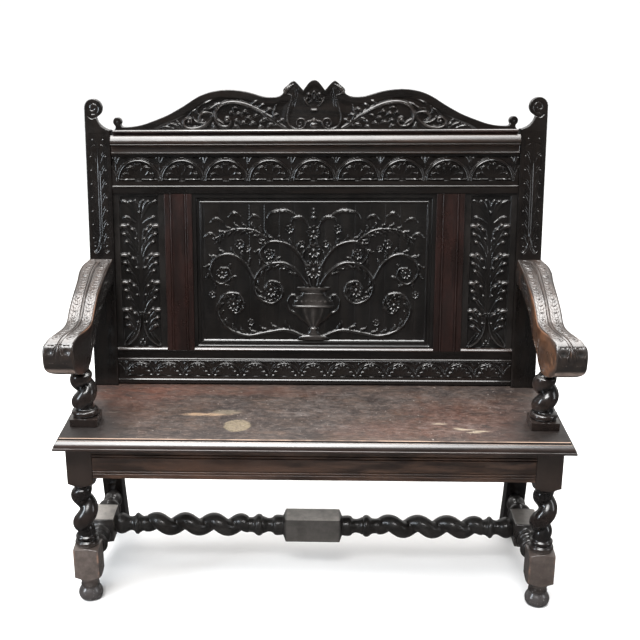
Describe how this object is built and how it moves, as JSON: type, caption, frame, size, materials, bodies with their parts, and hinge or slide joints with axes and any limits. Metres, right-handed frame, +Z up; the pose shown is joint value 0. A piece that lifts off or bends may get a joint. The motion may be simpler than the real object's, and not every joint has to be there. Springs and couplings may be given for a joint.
{
  "type": "settle bench",
  "caption": "Carved oak hall settle with a raked panelled back, scrolled arms on twist-turned supports, a moulded wooden seat and twist-turned legs joined by a turned H stretcher",
  "frame": {"origin": "on the floor, under the middle of the settle's overall box", "axes": "+X to the sitter's left as seen from in front (right in the picture), +Y to the back, +Z up; the front faces -Y"},
  "size_m": [1.2152, 0.4632, 1.2205],
  "materials": {
    "oak_carved": "near-black stained oak, carved, semi-gloss varnish worn brown on raised edges",
    "oak_frame": "dark reddish-brown stained oak, semi-gloss varnish",
    "oak_turned": "very dark turned oak, glossy on the twists, dusty grey-brown on the square blocks",
    "oak_seat": "worn brown oak boards, scuffed and scratched, with a dark moulded edge",
    "oak_arm": "polished grey-brown oak, carved on top, worn orange-brown along the edges",
    "oak_hidden": "plain unfinished oak, out of sight"
  },
  "bodies": {
    "root": {"front_leg_right": "oak_turned", "front_leg_left": "oak_turned", "rear_post_right": "oak_carved", "rear_post_left": "oak_carved", "front_apron": "oak_frame", "side_apron_right": "oak_frame", "side_apron_left": "oak_frame", "rear_seat_rail": "oak_frame", "front_corner_block_right": "oak_hidden", "front_corner_block_left": "oak_hidden", "rear_corner_block_right": "oak_hidden", "rear_corner_block_left": "oak_hidden", "side_stretcher_right": "oak_turned", "side_stretcher_left": "oak_turned", "centre_stretcher": "oak_turned", "seat_board_front": "oak_seat", "seat_board_rear": "oak_seat", "arm_support_right": "oak_turned", "arm_support_left": "oak_turned", "arm_right": "oak_arm", "arm_left": "oak_arm", "back_lower_rail": "oak_carved", "back_top_rail": "oak_carved", "muntin_right": "oak_frame", "muntin_left": "oak_frame", "side_panel_right": "oak_carved", "side_panel_left": "oak_carved", "centre_panel": "oak_carved", "side_panel_sill_right": "oak_frame", "side_panel_sill_left": "oak_frame", "centre_panel_sill": "oak_frame", "cornice_moulding": "oak_frame", "crest_ledge": "oak_frame", "crest_board": "oak_carved", "crest_dowel_1": "oak_hidden", "crest_dowel_2": "oak_hidden", "crest_dowel_3": "oak_hidden"}
  },
  "joints": []
}
